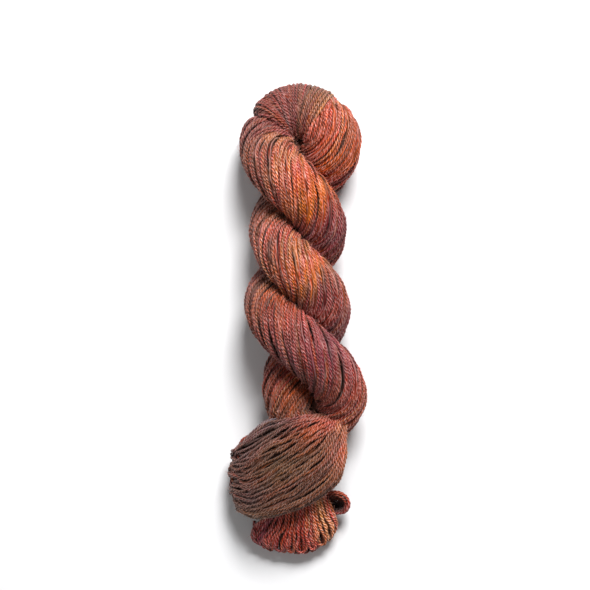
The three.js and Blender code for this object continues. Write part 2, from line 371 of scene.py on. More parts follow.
@dataclass(frozen=True)
class Wander:
    """A gentle irregular drift along a strand, the same on every run."""

    size: float
    shortest: float
    longest: float
    waves: int = 5

    def along(self, rng: np.random.Generator, distance: Array, loop: float = 0.0) -> Array:
        """Drift at each distance.

        Args:
            rng: Seeded source of the irregularity.
            distance: Distances along the strand.
            loop: Length after which the strand meets itself, or 0.

        Returns:
            One drift for each distance.
        """
        total = np.zeros(len(distance))
        for _ in range(self.waves):
            wave = math.exp(rng.uniform(math.log(self.shortest), math.log(self.longest)))
            if loop:
                wave = loop / max(1, round(loop / wave))
            phase = rng.uniform(0, 2 * math.pi)
            total += np.sin(2 * math.pi * distance / wave + phase)
        return self.size * total * math.sqrt(2 / self.waves)

    def sway(self, rng: np.random.Generator, distance: Array) -> Array:
        """A drift in each of the three directions at each distance."""
        return np.column_stack([self.along(rng, distance) for _ in range(3)])


def streaked(rng: np.random.Generator, dye: Array, distance: Array, most: float) -> Array:
    """Lets another dye run along stretches of a strand.

    Args:
        rng: Seeded source of the irregularity.
        dye: The strand's colour at each point.
        distance: Distances along the strand.
        most: The largest share that the other dye takes.

    Returns:
        The streaked colours.
    """
    other = STREAKS[rng.integers(len(STREAKS))].linear()
    share = most * np.clip(STREAK_SHARE + Wander(*STREAK_DRIFT).along(rng, distance), 0, 1)
    return dye * (1 - share)[:, None] + other * share[:, None]


@dataclass(frozen=True)
class Gauge:
    """The make of a strand: its plies, their pitch, and how finely it is modelled. Lengths in mm."""

    radius: float = 1.05
    groove: float = 0.32
    plies: int = 3
    corners: int = 9
    pitch: float = 7.2
    step: float = 1.1
    hidden_step: float = 3.6
    least: int = 8

    def section(self) -> Array:
        """Radius of the strand's outline at each corner, over plies and grooves in turn."""
        around = 2 * math.pi * np.arange(self.corners) / self.corners
        return self.radius * (1 - self.groove * (0.5 - 0.5 * np.cos(self.plies * around)))


@dataclass
class Strand:
    """One stretch of yarn: its middle line, the way out from what it is wound round, and its dye."""

    points: Array
    outward: Array
    dye: Array
    tone: Array
    closed: bool = False
    hidden: Array | None = None

    def even(self, step: float, hidden_step: float = 0.0, least: int = 8) -> "Strand":
        """The same strand with its points evened out.

        Args:
            step: Step between points where the strand shows.
            hidden_step: Step where it is hidden, or 0 for the same one.
            least: The least number of steps.

        Returns:
            The evened strand.
        """
        hidden = self.hidden if self.hidden is not None else np.zeros(len(self.points))
        columns = np.column_stack([self.points, self.outward, self.dye, self.tone, hidden])
        if self.closed:
            columns = np.vstack([columns, columns[:1]])
        distance = lengths_along(columns[:, :3])
        shown = 1 - columns[:, -1]
        pace = 1 / (step * shown + (hidden_step or step) * (1 - shown))
        reached = np.concatenate([[0.0], np.cumsum(np.diff(distance) * (pace[1:] + pace[:-1]) / 2)])
        count = max(least, round(reached[-1]))
        places = np.interp(np.linspace(0, reached[-1], count + 1), reached, distance)
        if self.closed:
            places = places[:-1]
        read = np.column_stack([np.interp(places, distance, column) for column in columns.T])
        points, outward, dye, tone, hidden = np.split(read, [3, 6, 9, 10], axis=1)
        return Strand(points, unit(outward), dye, tone[:, 0], self.closed, hidden[:, 0])


def placed(name: str, data: bpy.types.ID) -> bpy.types.Object:
    """Puts a new object into the scene.

    Args:
        name: Its name.
        data: Its mesh, light or camera.

    Returns:
        The object.
    """
    made = bpy.data.objects.new(name, data)
    bpy.context.scene.collection.objects.link(made)
    return made


def mesh_piece(
    name: str, points: Array, loops: Array, sizes: Array, dye: Array, yarn_map: Array, bake_map: Array,
) -> bpy.types.Object:
    """Makes a piece from arrays.

    Args:
        name: Name of the piece.
        points: Its points, mm.
        loops: The corners of its faces, one face after another.
        sizes: Number of corners of each face.
        dye: Colour of each point, with any painted shade and painted highlights in it.
        yarn_map: Place round and along the yarn of each face corner.
        bake_map: Place on the baked map of each face corner.

    Returns:
        The piece.
    """
    mesh = bpy.data.meshes.new(name)
    mesh.vertices.add(len(points))
    mesh.vertices.foreach_set("co", (points * MM).astype(np.float32).ravel())
    mesh.loops.add(len(loops))
    mesh.loops.foreach_set("vertex_index", loops.astype(np.int32))
    mesh.polygons.add(len(sizes))
    starts = np.concatenate([[0], np.cumsum(sizes)[:-1]])
    mesh.polygons.foreach_set("loop_start", starts.astype(np.int32))
    mesh.polygons.foreach_set("loop_total", sizes.astype(np.int32))
    mesh.update(calc_edges=True)
    colours = np.column_stack([np.clip(dye, 0, 1), np.ones(len(points))])
    layer = mesh.attributes.new(DYE_AND_PAINTED_LIGHT_LAYER, "FLOAT_COLOR", "POINT")
    layer.data.foreach_set("color", colours.astype(np.float32).ravel())
    for map_name, values in ((YARN_MAP, yarn_map), (BAKE_MAP, bake_map)):
        mesh.uv_layers.new(name=map_name).data.foreach_set("uv", values.astype(np.float32).ravel())
    mesh.shade_smooth()
    return placed(name, mesh)


class StrandMesh:
    """Joins strands into one mesh, each a closed tube with its plies twisted round it."""

    loose_twist = Wander(0.45, 12, 60)
    uneven_spin = Wander(0.06, 5, 40)

    def __init__(self, name: str, gauge: Gauge, seed: int, folds: int = 1) -> None:
        """Starts an empty mesh.

        Args:
            name: Name of the piece.
            gauge: The make of its strands.
            seed: Seed for where each strand's plies start.
            folds: Rows of the bake map that each strand is laid out on.
        """
        self.name, self.gauge, self.folds = name, gauge, folds
        self.rng = np.random.default_rng(seed)
        self.strands: list[Strand] = []

    def add(self, strand: Strand) -> None:
        """Takes in one more strand."""
        gauge = self.gauge
        self.strands.append(strand.even(gauge.step, gauge.hidden_step, gauge.least))

    def tube(self, strand: Strand) -> tuple[Array, Array, Array]:
        """Points of a strand's surface.

        Args:
            strand: The strand, with even points.

        Returns:
            The points, a ring after a ring, the distance of each ring along the strand, and the painted
            light at each point, the share of light that reaches it past the strands on both sides: painted
            shade on the sides and painted highlight where it faces out.
        """
        gauge, points = self.gauge, strand.points
        if strand.closed:
            ahead = np.roll(points, -1, 0) - np.roll(points, 1, 0)
            distance = np.linalg.norm(np.roll(points, -1, 0) - points, axis=1)
            loop = distance.sum()
            distance = np.concatenate([[0.0], np.cumsum(distance)[:-1]])
            turns = round(loop / gauge.pitch) / loop
        else:
            ahead = np.gradient(points, axis=0)
            distance = lengths_along(points)
            loop = 0.0
            turns = 1 / gauge.pitch
        tangent = unit(ahead)
        out = strand.outward - tangent * np.sum(tangent * strand.outward, axis=1, keepdims=True)
        out = unit(out)
        aside = np.cross(tangent, out)
        phase = self.rng.uniform(0, 2 * math.pi)
        around = 2 * math.pi * np.arange(gauge.corners) / gauge.corners
        turned = 2 * math.pi * turns * distance + self.loose_twist.along(self.rng, distance, loop)
        angle = around[None, :] - turned[:, None] + phase
        spun = 1 + self.uneven_spin.along(self.rng, distance, loop)
        radius = spun[:, None, None] * gauge.section()[None, :, None]
        rings = points[:, None] + radius * (
            np.cos(angle)[..., None] * out[:, None] + np.sin(angle)[..., None] * aside[:, None]
        )
        # painted light, put into the colour: painted shade where the surface faces the neighbouring
        # strands, painted highlight where it faces out
        open_share = np.clip((np.cos(angle) - SHUT_FACING) / (OPEN_FACING - SHUT_FACING), 0, 1)
        light = PAINTED_SHUT_LIGHT + (PAINTED_OPEN_LIGHT - PAINTED_SHUT_LIGHT) * open_share
        return rings.reshape(-1, 3), distance, light.reshape(-1)

    def body(self, strand: Strand, distance: Array, row: int) -> tuple[Array, Array, Array]:
        """The faces round a strand.

        Args:
            strand: The strand.
            distance: Distance of each ring along it.
            row: Its place in the mesh.

        Returns:
            The corners of each face, counted from the strand's first point, and where each corner lies
            on the yarn map and on the bake map.
        """
        corners, rings = self.gauge.corners, len(strand.points)
        spans = rings if strand.closed else rings - 1
        ring, side = (grid.ravel() for grid in np.indices((spans, corners)))
        ahead, beside = (ring + 1) % rings, (side + 1) % corners
        faces = np.column_stack([
            ring * corners + side, ring * corners + beside,
            ahead * corners + beside, ahead * corners + side,
        ])
        around = np.column_stack([side, side + 1, side + 1, side]) / corners
        along = np.column_stack([ring, ring, ring + 1, ring + 1])
        reached = np.append(distance, distance[-1] + self.gauge.step)
        yarn_map = np.stack([around, reached[along] / self.gauge.pitch], axis=-1)
        per_fold = math.ceil(spans / self.folds)
        fold = (ring // per_fold)[:, None]
        across = END_MARGIN + (1 - 2 * END_MARGIN) * (along - fold * per_fold) / per_fold
        up = row * self.folds + fold + ROW_MARGIN + (1 - 2 * ROW_MARGIN) * around
        return faces, yarn_map, np.stack([across, up / (len(self.strands) * self.folds)], axis=-1)

    def caps(self, strand: Strand, row: int) -> tuple[Array, Array, Array]:
        """The faces that close a strand's two ends.

        Args:
            strand: The strand.
            row: Its place in the mesh.

        Returns:
            The corners of each face, counted from the strand's first point, and where each corner lies
            on the yarn map and on the bake map.
        """
        corners, rings = self.gauge.corners, len(strand.points)
        side = np.arange(corners)
        turn = 2 * math.pi * side / corners
        faces = np.array([side[::-1], (rings - 1) * corners + side])
        yarn_map = np.column_stack([side / corners, 0 * turn])
        outline = CAP_RADIUS * np.column_stack([np.cos(turn), np.sin(turn)])
        height = (row * self.folds + 0.5) / (len(self.strands) * self.folds)
        bake_map = np.array([outline + [CAP_START + CAP_STEP * place, height] for place in (1, 2)])
        return faces, np.array([yarn_map, yarn_map]), bake_map

    def build(self) -> bpy.types.Object:
        """Makes the piece.

        Returns:
            The piece, at the origin, with its place in its mesh.
        """
        surfaces, dyes_with_painted_light, bodies, ends = [], [], [], []
        start = 0
        for row, strand in enumerate(self.strands):
            surface, distance, light = self.tube(strand)
            surfaces.append(surface)
            dye = np.repeat(strand.dye * strand.tone[:, None], self.gauge.corners, axis=0)
            # the painted shade and painted highlight of the strand's surface go into its colour
            dyes_with_painted_light.append(dye * light[:, None])
            faces, *maps = self.body(strand, distance, row)
            bodies.append((start + faces, *maps))
            if not strand.closed:
                faces, *maps = self.caps(strand, row)
                ends.append((start + faces, *maps))
            start += len(surface)
        loops, sizes, yarn_maps, bake_maps = [], [], [], []
        for sort in filter(None, (bodies, ends)):
            faces, yarn_map, bake_map = (np.concatenate(column) for column in zip(*sort))
            loops.append(faces.ravel())
            sizes.append(np.full(len(faces), faces.shape[1]))
            yarn_maps.append(yarn_map.reshape(-1, 2))
            bake_maps.append(bake_map.reshape(-1, 2))
        points = np.concatenate(surfaces) - TABLES_MIDDLE
        joined = (np.concatenate(part) for part in (loops, sizes, dyes_with_painted_light, yarn_maps, bake_maps))
        return mesh_piece(self.name, points, *joined)


def joined_to_part(piece: bpy.types.Object, finish: bpy.types.Material) -> bpy.types.Object:
    """Gives a piece its finish, hangs it under the root body and hides the solid.

    Args:
        piece: The piece.
        finish: Its material.

    Returns:
        The same piece.
    """
    piece.data.materials.append(finish)
    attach(piece, "root")
    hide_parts(NODE)
    triangles = sum(len(face.vertices) - 2 for face in piece.data.polygons)
    LOG.info("%s: %d triangles", piece.name, triangles)
    return piece


class Pattern:
    """A new material, with short ways to add the nodes of its pattern."""

    def __init__(self, name: str, values: dict[str | int, object]) -> None:
        """Makes the material.

        Args:
            name: Its name.
            values: What its shader's own sockets are set to.
        """
        self.material = bpy.data.materials.new(name)
        self.material.use_nodes = True
        self.nodes = self.material.node_tree.nodes
        self.shader = self.nodes["Principled BSDF"]
        self.feed(self.shader, values)

    def feed(self, node: bpy.types.Node, values: dict[str | int, object]) -> None:
        """Sets or links a node's inputs.

        Args:
            node: The node.
            values: A number, a colour or a socket for each input.
        """
        for key, value in values.items():
            if isinstance(value, bpy.types.NodeSocket):
                self.material.node_tree.links.new(value, node.inputs[key])
            else:
                node.inputs[key].default_value = value

    def add(self, kind: str, values: dict[str | int, object]) -> bpy.types.Node:
        """Adds a node.

        Args:
            kind: Its type, less the words that all shader nodes' types begin with.
            values: A number, a colour or a socket for each input.

        Returns:
            The node.
        """
        node = self.nodes.new("ShaderNode" + kind)
        self.feed(node, values)
        return node

    def maths(self, kind: str, *values: object) -> bpy.types.NodeSocket:
        """Adds a Math node.

        Args:
            kind: What it works out.
            values: The sockets or numbers that it reads.

        Returns:
            Its result.
        """
        node = self.nodes.new("ShaderNodeMath")
        node.operation = kind
        self.feed(node, dict(enumerate(values)))
        return node.outputs[0]

    def noise(self, place: bpy.types.NodeSocket, scale: float, **values: float) -> bpy.types.NodeSocket:
        """Adds a noise texture that is read at a place."""
        return self.add("TexNoise", {"Vector": place, "Scale": scale, **values}).outputs["Fac"]

    def relief(self, height: bpy.types.NodeSocket) -> None:
        """Gives the surface a fine relief, 1 mm for a height of 1."""
        bump = self.add("Bump", {"Strength": 1.0, "Distance": MM, "Height": height})
        self.feed(self.shader, {"Normal": bump.outputs["Normal"]})


@dataclass(frozen=True)
class DyedWool:
    """Hand-dyed plied wool: the dyer's scale of colours, fibres along each ply, painted highlights on the
    plies' ridges and on stray fibres, painted shade in the grooves, and a soft sheen.
    """

    name: str = "hand_dyed_wool"
    roughness: float = 0.5
    uneven_roughness: float = 0.3
    sheen: float = 0.14
    sheen_roughness: float = 0.42
    sheen_tint: tuple[float, ...] = (1.0, 0.80, 0.72, 1.0)
    specular: float = 0.46
    specular_tint: tuple[float, ...] = (1.0, 0.82, 0.74, 1.0)
    plies: int = 3
    # painted highlight on each ply's ridge and painted shade in its groove, as brightness for the dye
    painted_ridge_highlight: float = 0.8
    painted_groove_shade: float = 0.46
    patch_scale: float = 300.0
    patch_least: float = 0.42
    fibres_around: float = 9.0
    fibres_along: float = 2.6
    fibre_scale: float = 1.6
    fibre_detail: float = 4.0
    # strength of the painted glints on stray fibres
    glint: float = 1.3
    blotch_scale: float = 420.0
    blotch: float = 0.7
    # saturation where the painted shade is deepest, and how much of it each step of painted brightness
    # takes away
    shade_saturation: float = 1.95
    light_saturation_loss: float = 0.8
    ply_relief: float = 0.30
    fibre_relief: float = 0.22

    def material(self) -> bpy.types.Material:
        """Makes the finish.

        Returns:
            The material.
        """
        pattern = Pattern(self.name, {
            "Sheen Weight": self.sheen,
            "Sheen Roughness": self.sheen_roughness,
            "Sheen Tint": self.sheen_tint,
            "Specular IOR Level": self.specular,
            "Specular Tint": self.specular_tint,
        })
        maths, noise = pattern.maths, pattern.noise
        where = pattern.add("TexCoord", {}).outputs["Object"]
        yarn = pattern.add("UVMap", {})
        yarn.uv_map = YARN_MAP
        apart = pattern.add("SeparateXYZ", {0: yarn.outputs[0]})
        around, along = apart.outputs[0], apart.outputs[1]

        # fibres run nearly straight along the strand, so they cross each ply at a slant
        fibres = pattern.add("CombineXYZ", {
            0: maths("MULTIPLY", around, self.fibres_around),
            1: maths("MULTIPLY", along, self.fibres_along),
        })
        hairs = noise(fibres.outputs[0], self.fibre_scale, Detail=self.fibre_detail)

        # painted highlight along each ply's ridge, here and there more so, and painted shade in the groove
        # beside it
        wave = maths("COSINE", maths("MULTIPLY", around, 2 * math.pi * self.plies))
        ridge = maths("MULTIPLY_ADD", wave, 0.5, 0.5)
        patchy = maths("ADD", noise(where, self.patch_scale), self.patch_least)
        ply = maths("MULTIPLY_ADD", maths("MULTIPLY", ridge, patchy), self.painted_ridge_highlight, self.painted_groove_shade)

        # painted glints where stray fibres catch light, and the dye takes unevenly
        painted_glints = maths("MULTIPLY", maths("SUBTRACT", hairs, 0.5), self.glint)
        blotch = maths("MULTIPLY", maths("SUBTRACT", noise(where, self.blotch_scale), 0.5), self.blotch)
        value = maths("ADD", maths("ADD", ply, painted_glints), blotch)
        # the colour layer already holds the painted shade and painted highlights of the strands' surfaces
        colour = pattern.add("Attribute", {})
        colour.attribute_name = DYE_AND_PAINTED_LIGHT_LAYER
        # painted highlights come out paler and painted shade deeper in colour
        shaded = pattern.add("HueSaturation", {
            "Value": value,
            "Saturation": maths("MULTIPLY_ADD", value, -self.light_saturation_loss, self.shade_saturation),
            "Color": colour.outputs["Color"],
        })
        least_rough = self.roughness - self.uneven_roughness / 2
        pattern.feed(pattern.shader, {
            "Base Color": shaded.outputs["Color"],
            "Roughness": maths("MULTIPLY_ADD", hairs, self.uneven_roughness, least_rough),
        })
        fine = maths("MULTIPLY", hairs, self.fibre_relief)
        pattern.relief(maths("MULTIPLY_ADD", ridge, self.ply_relief, fine))
        return pattern.material


@dataclass(frozen=True)
class PaintedShadeWool:
    """Painted shade: the dark brown that wool shows where it lies in shade, in fine stripes that run with
    the skein.
    """

    name: str = "painted_shade_wool"
    roughness: float = 0.9
    specular: float = 0.1
    stripes: tuple[float, float, float] = (520.0, 70.0, 520.0)
    stripe_bend: float = 0.6
    dark: tuple[float, ...] = (0.026, 0.012, 0.009, 1.0)
    dark_until: float = 0.36
    light: tuple[float, ...] = (0.15, 0.062, 0.045, 1.0)
    light_from: float = 0.66

    def material(self) -> bpy.types.Material:
        """Makes the finish.

        Returns:
            The material.
        """
        pattern = Pattern(self.name, {
            "Roughness": self.roughness, "Specular IOR Level": self.specular,
        })
        where = pattern.add("TexCoord", {}).outputs["Object"]
        fit = pattern.add("Mapping", {"Scale": self.stripes, "Vector": where})
        stripes = pattern.noise(fit.outputs["Vector"], 1.0, Distortion=self.stripe_bend)
        ramp = pattern.add("ValToRGB", {0: stripes})
        first, last = ramp.color_ramp.elements
        first.position, first.color = self.dark_until, self.dark
        last.position, last.color = self.light_from, self.light
        pattern.feed(pattern.shader, {"Base Color": ramp.outputs["Color"]})
        pattern.relief(stripes)
        return pattern.material


@dataclass(frozen=True)
class PaleFloor:
    """The plain finish of the studio's floor."""

    name: str = "pale_floor"
    colour: tuple[float, ...] = (0.80, 0.80, 0.81, 1.0)
    roughness: float = 0.9

    def material(self) -> bpy.types.Material:
        """Makes the finish."""
        return Pattern(self.name, {"Base Color": self.colour, "Roughness": self.roughness}).material


@dataclass
class HankPath:
    """The middle line of the wound hank, from the band over the head to the fan, with a frame that
    turns with it as little as it can.

    Two creases cross the head: on its left the turns of the left side tuck under the crown, and on its
    right the crown meets the right side. At the waist the second bundle is drawn in under the band. All
    places are distances along the line, and all are in mm.
    """

    steps: int = 4000
    fineness: int = 8
    left_crease: float = 253.0
    left_depth: float = 2.8
    right_crease: float = 289.0
    right_depth: float = 1.4
    crease_reach: float = 1.7
    slope_depth: float = 1.6
    slope_reach: float = 5.0
    crown_rise: float = 0.4
    waist: float = 512.0
    waist_depth: float = 2.0
    waist_reach: float = 3.0
    twist_reach: float = 1.2

    def __post_init__(self) -> None:
        """Lays the line out."""
        rows = self.rows()
        fine = np.linspace(0, 1, self.fineness * self.steps + 1)
        distance = lengths_along(smooth_line(rows[:, :3], fine))
        self.along = np.linspace(0, float(distance[-1]), self.steps + 1)
        share = np.interp(self.along, distance, fine)
        self.middle = smooth_line(rows[:, :3], share)
        self.girth = smooth_line(rows[:, 3:], share)[:, 0]
        self.ahead = unit(np.gradient(self.middle, axis=0))
        self.bend = np.gradient(self.ahead, self.along, axis=0)
        self.up = self.carried(self.ahead)
        self.aside = np.cross(self.ahead, self.up)

    @staticmethod
    def rows() -> Array:
        """The line's points and girths, as the solid's tables give them.

        Returns:
            A row of x, y, z and girth for each point.
        """
        count = (len(ROPE) - 1) * QUARTERS

        def rope(side: int, points: int) -> Array:
            """Points of one bundle along the rope.

            Args:
                side: 0 for the bundle that starts on the right, 1 for the other.
                points: Number of points.

            Returns:
                A row of x, y, z and girth for each point.
            """
            index = np.arange(points)
            y, x, rise, spread, girth = smooth_line(ROPE, index / count).T
            turn = math.pi * (side - index / QUARTERS)
            height = (spread + girth) * SETTLE - PRESSED + rise
            return np.column_stack([
                x + spread * np.cos(turn), y, height + spread * SETTLE * np.sin(turn), girth,
            ])

        upward = np.vstack([rope(1, count + 1), INTO_BAND])[::-1]
        downward = np.vstack([rope(0, count), INTO_FAN])
        return np.vstack([upward, FOLD, downward])

    @staticmethod
    def carried(ahead: Array) -> Array:
        """Carries a cross direction along a line without needless turning.

        Args:
            ahead: The line's direction at each point.

        Returns:
            The cross direction at each point.
        """
        axis = np.zeros(3)
        axis[np.argmin(np.abs(ahead[0]))] = 1
        first = np.cross(ahead[0], unit(np.cross(ahead[0], axis)))
        made = [first]
        for direction in ahead[1:]:
            last = made[-1] - direction * (made[-1] @ direction)
            made.append(last / np.linalg.norm(last))
        return np.array(made)

    def twist(self, crown: float) -> Array:
        """Twist of the yarn round its bundle at each step, in radians for each millimetre.

        Args:
            crown: The twist over the crown of the head, between its two creases.

        Returns:
            The twist at each step.
        """
        rising = np.tanh((self.along - self.left_crease) / self.twist_reach)
        falling = np.tanh((self.along - self.right_crease) / self.twist_reach)
        return YARN_TWIST + (crown - YARN_TWIST) * (rising - falling) / 2

    def creases(self) -> Array:
        """Depth of the creases and the waist at each step, less the rise of the crown.

        Returns:
            The depth at each step.
        """
        from_left, from_right = self.along - self.left_crease, self.along - self.right_crease
        dip = self.left_depth * np.exp(-((from_left / self.crease_reach) ** 2))
        dip += self.right_depth * np.exp(-((from_right / self.crease_reach) ** 2))
        dip += self.slope_depth * np.exp(-np.abs(from_left) / self.slope_reach) * (from_left < 0)
        dip += self.waist_depth / (1 + np.exp(-(self.along - self.waist) / self.waist_reach))
        crown = np.clip(from_left / (self.right_crease - self.left_crease), 0, 1)
        return dip - self.crown_rise * np.sin(math.pi * crown)


def layered(rank: float, room: Array) -> Array:
    """How far a strand sinks where there is no room for them all on the surface.

    Args:
        rank: Its place in the order in which strands give way, from 0 to 1.
        room: Share of the strands that the surface has room for.

    Returns:
        The depth to which the strand sinks, mm.
    """
    pressed = np.clip((rank - room) / SINK_SPREAD, 0, 1)
    return pressed * pressed * (3 - 2 * pressed) * (SINK_LEAST + SINK_MORE * rank)


def rank_of(index: int) -> float:
    """A strand's place in the order of giving way."""
    return GIVE_WAY[index % len(GIVE_WAY)]


@dataclass
class SolidForm:
    """The solid's surface, to tell where a strand lies hidden inside it. The underside is modelled
    more coarsely too, by a share of the way to hidden strands."""

    hidden_depth: float = 4.2
    underside_share: float = 0.28
    underside_facing: float = 0.4

    def __post_init__(self) -> None:
        """Reads the solid's surface."""
        work = bmesh.new()
        work.from_mesh(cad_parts[NODE].data)
        bmesh.ops.remove_doubles(work, verts=work.verts, dist=SAME_POINT)
        self.tree = BVHTree.FromBMesh(work)
        work.free()

    def depth(self, place: Array, way: Array) -> float | None:
        """How deep a place lies inside the surface, the way that is given, mm, or None if outside."""
        hit = self.tree.ray_cast(Vector((place - TABLES_MIDDLE) * MM), Vector(way))
        return None if hit[0] is None else hit[3] / MM

    def hides(self, points: Array, outward: Array, every: int) -> Array:
        """Whether each point of a strand is deep inside the solid.

        Args:
            points: The strand's points.
            outward: The way out at each point.
            every: How many points lie between two readings.

        Returns:
            1 where the strand is hidden, 0 where it shows, and a share of 1 on the underside.
        """
        depths = [self.depth(place, way) for place, way in zip(points[::every], outward[::every])]
        near = np.array([1.0 if depth and depth > self.hidden_depth else 0.0 for depth in depths])
        deep = np.minimum(near, np.minimum(np.roll(near, 1), np.roll(near, -1)))
        beneath = np.clip(-outward[::every, 2] / self.underside_facing, 0, 1)
        share = np.maximum(deep, self.underside_share * beneath)
        return np.interp(np.arange(len(points)), np.arange(len(points))[::every], share)


@dataclass
class WoundHank:
    """The turns of yarn that lie round the hank's two bundles, over the head and down to the tuck.
    Lengths in mm, and places round the bundle in gaps between strands."""

    path: HankPath
    form: SolidForm
    name: str = "hank_turns"
    parts: int = 4
    folds: int = 4
    gauge: Gauge = Gauge()
    strands: int = 41
    depth: float = 0.0
    crown: float = CROWN_TWIST
    seed: int = 11
    # Where a strand lies round the bundle, and how far it gathers with others into a lock
    uneven_gap: float = 0.12
    drift: Wander = Wander(0.32, 45, 150)
    waver: Wander = Wander(0.10, 9, 26)
    gathering: float = 0.22
    # How high it lies: the room that it needs, in radii, and its lift along it and as a whole
    least_stretch: float = 0.15
    crowding: float = 1.45
    lift: Wander = Wander(0.21, 14, 70)
    own_lift: tuple[float, float] = (-0.15, 0.12)
    read_every: int = 10
    # Its dye, with more mauve on the left flanks and painted shade there, on the side away from the lamp,
    # and its brightness
    dye_shift: float = 2.6
    flank_share: float = 0.42
    flank_slope: float = 1.3
    flank_painted_shade: float = 0.35
    streak: float = 0.5
    brightness: float = 0.86
    uneven_tone: float = 0.13
    shade: Wander = Wander(0.15, 6, 70)

    def strand(self, index: int, rng: np.random.Generator) -> Strand:
        """Lays one strand.

        Args:
            index: Its place round the bundle.
            rng: Seeded source of its irregularity.

        Returns:
            The strand.
        """
        path, along = self.path, self.path.along
        gap = 2 * math.pi / self.strands
        base = gap * (index + rng.uniform(-self.uneven_gap, self.uneven_gap))
        around = base + gap * (self.drift.along(rng, along) + self.waver.along(rng, along))
        around = around - self.gathering / LOCKS * np.sin(LOCKS * around)
        twist = path.twist(self.crown)
        turn = np.concatenate([[0.0], np.cumsum((twist[1:] + twist[:-1]) / 2 * np.diff(along))])
        relief = 1 + LOCK_RELIEF * np.cos(LOCKS * around)
        angle = around + turn
        way = np.cos(angle)[:, None] * path.up + np.sin(angle)[:, None] * path.aside
        stretch = np.maximum(1 - path.girth * np.sum(way * path.bend, axis=1), self.least_stretch)
        slant = stretch / np.hypot(stretch, twist * path.girth)
        room = path.girth * gap * slant / (self.crowding * self.gauge.radius)
        sink = layered(rank_of(index), room)
        lift = self.lift.along(rng, along) + rng.uniform(*self.own_lift)
        radius = path.girth * relief - self.gauge.radius - self.depth - sink - path.creases() + lift
        offset = radius[:, None] * way
        offset[:, 2] *= SETTLE
        points = kept_above(path.middle + offset, self.gauge.radius)
        outward = unit(offset)
        hidden = self.form.hides(points, outward, self.read_every)
        shift = rng.normal(0, self.dye_shift)
        flank = self.flank_share * np.clip(-outward[:, :1] * self.flank_slope, 0, 1)
        dye = dyed(along + shift, HANK_DYE) * (1 - flank) + Dye.MAUVE.linear() * flank
        # painted shade on the left flanks, on the side away from the lamp
        dye = streaked(rng, dye * (1 - self.flank_painted_shade * flank), along, self.streak)
        tone = 1 + rng.normal(0, self.uneven_tone) + self.shade.along(rng, along)
        tone = self.brightness * tone * np.interp(along, *HANK_TONE.T)
        return Strand(points, outward, dye, tone, hidden=hidden)

    def build(self, shown: list[Strand] | None = None) -> list[bpy.types.Object]:
        """Makes the pieces, among which the strands are shared out.

        Args:
            shown: List that takes in the strands, for the loose fibres on them.

        Returns:
            The pieces.
        """
        rng = np.random.default_rng(self.seed)
        laid = [self.strand(index, rng) for index in range(self.strands)]
        made = []
        for part in range(self.parts):
            mesh = StrandMesh(f"{self.name}_{part + 1}", self.gauge, self.seed + part, self.folds)
            for strand in laid[part * self.strands // self.parts:(part + 1) * self.strands // self.parts]:
                mesh.add(strand)
            made.append(mesh.build())
            if shown is not None:
                shown += mesh.strands
        return made


@dataclass
class UnderHank(WoundHank):
    """Coarser turns just under the hank's outer ones, which fill the gaps between them."""

    name: str = "hank_under_turns"
    parts: int = 1
    gauge: Gauge = Gauge(radius=1.15, groove=0.0, corners=5, pitch=80.0, step=4.0, hidden_step=5.0)
    strands: int = 42
    depth: float = 0.6
    crown: float = YARN_TWIST
    seed: int = 12
    brightness: float = 0.8


@dataclass(kw_only=True)
class EndLoop(ABC):
    """An end loop of the hank: its outer turns, and coarser ones under them that fill the gaps."""

    name: str
    strands: int
    inner: int
    inner_depth: float
    seed: int
    rough: Gauge
    gauge: Gauge = Gauge()

    @abstractmethod
    def strand(self, index: int, count: int, depth: float, rng: np.random.Generator) -> Strand:
        """Lays one strand.

        Args:
            index: Its place among the others.
            count: Number of strands.
            depth: How far under the surface it lies.
            rng: Seeded source of its irregularity.

        Returns:
            The strand.
        """

    def build(self, shown: list[Strand]) -> list[bpy.types.Object]:
        """Makes the outer turns and the ones under them.

        Args:
            shown: List that takes in the outer strands, for the loose fibres on them.

        Returns:
            The two pieces.
        """
        rng = np.random.default_rng(self.seed)
        outer = StrandMesh(f"{self.name}_turns", self.gauge, self.seed)
        for index in range(self.strands):
            outer.add(self.strand(index, self.strands, 0.0, rng))
        under = StrandMesh(f"{self.name}_under_turns", self.rough, self.seed + 1)
        for index in range(self.inner):
            under.add(self.strand(index, self.inner, self.inner_depth, rng))
        shown += outer.strands
        return [outer.build(), under.build()]


